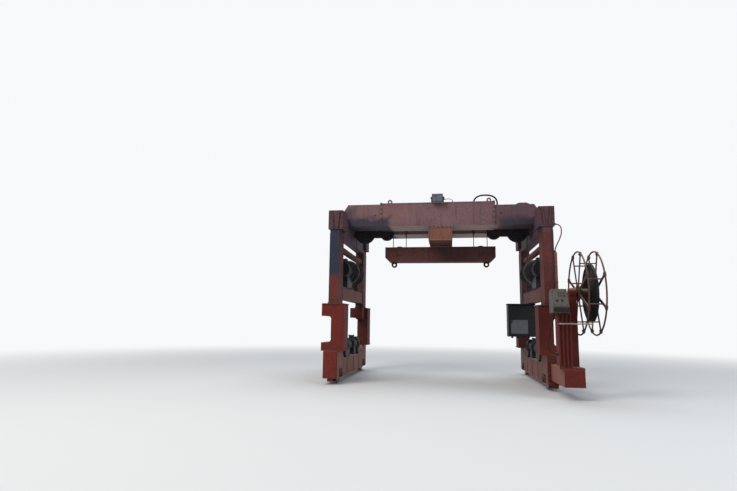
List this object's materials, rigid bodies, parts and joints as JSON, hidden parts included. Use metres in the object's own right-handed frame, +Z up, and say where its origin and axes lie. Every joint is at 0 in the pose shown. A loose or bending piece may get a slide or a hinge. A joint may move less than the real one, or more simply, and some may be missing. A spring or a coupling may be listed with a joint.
{
  "type": "rail-mounted track-laying gantry crane",
  "caption": "Rail-mounted portal crane with a twin box girder, C-shaped legs, rope winches, a lifting beam, an operator's console and a cable reel.",
  "frame": {"origin": "the track's centre line, midway between the axles, level with the rail tops", "axes": "+X across the track towards the console and cable reel, +Y along the track to the rear, +Z up"},
  "size_m": [4.0649, 4.091, 3.2502],
  "materials": {
    "structure_red": "worn semi-gloss dark red paint",
    "girder_red": "worn semi-gloss dark red paint",
    "bright_red": "semi-gloss red paint",
    "dark_steel": "oiled steel",
    "rope_steel": "greased wire rope",
    "machine_black": "satin black paint",
    "cabinet_black": "satin black paint",
    "console_grey": "matt light grey paint",
    "pale_steel": "dull galvanised",
    "lamp_black": "satin black casting",
    "duct_salmon": "weathered red duct",
    "hose_black": "matt black rubber",
    "wheel_steel": "worn cast steel, bright tread",
    "sheave_steel": "cast, worn red primer",
    "drum_grey": "worn light grey paint"
  },
  "bodies": {
    "chassis": {"upper_columns": "structure_red", "mid_beams": "structure_red", "top_beams": "structure_red", "tie_bars": "structure_red", "head_brackets": "structure_red", "girder_centre": "girder_red", "centre_block": "girder_red", "girder_end_left": "girder_red", "girder_end_right": "girder_red", "sheave_brackets": "structure_red", "hoist_ropes": "rope_steel", "rope_falls": "rope_steel", "rope_anchors": "dark_steel", "winch_stands": "structure_red", "winch_motors": "machine_black", "drive_motors": "machine_black", "cabinet": "cabinet_black", "nose_beam": "bright_red", "console_post": "bright_red", "console_desk": "console_grey", "reel_stand": "bright_red", "guard_rail": "pale_steel", "floodlight": "lamp_black", "lifting_lugs": "structure_red", "cable_duct": "duct_salmon", "hose_arch": "hose_black", "lamp_flex": "hose_black", "console_cable": "hose_black", "duct_hose": "hose_black", "truck_left": "structure_red", "truck_right": "structure_red", "lower_legs_front": "structure_red", "lower_legs_rear": "structure_red"},
    "wheel_front_left": {"wheel_front_left": "wheel_steel"},
    "wheel_rear_left": {"wheel_rear_left": "wheel_steel"},
    "wheel_front_right": {"wheel_front_right": "wheel_steel"},
    "wheel_rear_right": {"wheel_rear_right": "wheel_steel"},
    "spreader": {"spreader_beam": "structure_red", "pulley_ropes": "rope_steel"},
    "winch_drum_left": {"winch_drum_left": "drum_grey"},
    "big_sheave_left": {"big_sheave_left": "sheave_steel"},
    "small_sheave_left": {"small_sheave_left": "sheave_steel"},
    "spreader_pulley_left": {"spreader_pulley_left": "sheave_steel"},
    "winch_drum_right": {"winch_drum_right": "drum_grey"},
    "big_sheave_right": {"big_sheave_right": "sheave_steel"},
    "small_sheave_right": {"small_sheave_right": "sheave_steel"},
    "spreader_pulley_right": {"spreader_pulley_right": "sheave_steel"},
    "cable_reel": {"cable_reel": "bright_red", "wound_cable": "hose_black"}
  },
  "joints": [
    {"name": "wheel_front_left_roll", "type": "hinge", "parent": "chassis", "child": "wheel_front_left", "pos_m": [-1.7, -1.15, 0.13], "axis": [1, 0, 0], "continuous": true},
    {"name": "wheel_rear_left_roll", "type": "hinge", "parent": "chassis", "child": "wheel_rear_left", "pos_m": [-1.7, 1.15, 0.13], "axis": [1, 0, 0], "continuous": true},
    {"name": "wheel_front_right_roll", "type": "hinge", "parent": "chassis", "child": "wheel_front_right", "pos_m": [1.7, -1.15, 0.13], "axis": [1, 0, 0], "continuous": true},
    {"name": "wheel_rear_right_roll", "type": "hinge", "parent": "chassis", "child": "wheel_rear_right", "pos_m": [1.7, 1.15, 0.13], "axis": [1, 0, 0], "continuous": true},
    {"name": "spreader_lift", "type": "slide", "parent": "chassis", "child": "spreader", "axis": [0, 0, 1], "range_m": [-1.65, 0.03], "deforming": ["rope_falls"]},
    {"name": "drum_left_turn", "type": "hinge", "parent": "chassis", "child": "winch_drum_left", "pos_m": [-1.67, 0, 1.86], "axis": [0, 1, 0], "continuous": true},
    {"name": "big_sheave_left_turn", "type": "hinge", "parent": "chassis", "child": "big_sheave_left", "pos_m": [-1.3954, 0, 2.61], "axis": [0, 1, 0], "continuous": true},
    {"name": "small_sheave_left_turn", "type": "hinge", "parent": "chassis", "child": "small_sheave_left", "pos_m": [-0.9826, 0, 2.61], "axis": [0, 1, 0], "continuous": true},
    {"name": "pulley_left_turn", "type": "hinge", "parent": "spreader", "child": "spreader_pulley_left", "pos_m": [-0.74, 0, 2.238], "axis": [0, 1, 0], "continuous": true},
    {"name": "drum_right_turn", "type": "hinge", "parent": "chassis", "child": "winch_drum_right", "pos_m": [1.67, 0, 1.86], "axis": [0, 1, 0], "continuous": true},
    {"name": "big_sheave_right_turn", "type": "hinge", "parent": "chassis", "child": "big_sheave_right", "pos_m": [1.3954, 0, 2.61], "axis": [0, 1, 0], "continuous": true},
    {"name": "small_sheave_right_turn", "type": "hinge", "parent": "chassis", "child": "small_sheave_right", "pos_m": [0.9826, 0, 2.61], "axis": [0, 1, 0], "continuous": true},
    {"name": "pulley_right_turn", "type": "hinge", "parent": "spreader", "child": "spreader_pulley_right", "pos_m": [0.74, 0, 2.238], "axis": [0, 1, 0], "continuous": true},
    {"name": "cable_reel_turn", "type": "hinge", "parent": "chassis", "child": "cable_reel", "pos_m": [2.02, -2.06, 1.39], "axis": [1, 0, 0], "continuous": true}
  ],
  "couplings": [
    {"joint": "drum_left_turn", "follows": "spreader_lift", "rad_per_m": 19.55},
    {"joint": "big_sheave_left_turn", "follows": "spreader_lift", "rad_per_m": -11.608},
    {"joint": "small_sheave_left_turn", "follows": "spreader_lift", "rad_per_m": -16.488},
    {"joint": "pulley_left_turn", "follows": "spreader_lift", "rad_per_m": 8.244},
    {"joint": "drum_right_turn", "follows": "spreader_lift", "rad_per_m": -19.55},
    {"joint": "big_sheave_right_turn", "follows": "spreader_lift", "rad_per_m": 11.608},
    {"joint": "small_sheave_right_turn", "follows": "spreader_lift", "rad_per_m": 16.488},
    {"joint": "pulley_right_turn", "follows": "spreader_lift", "rad_per_m": -8.244}
  ]
}
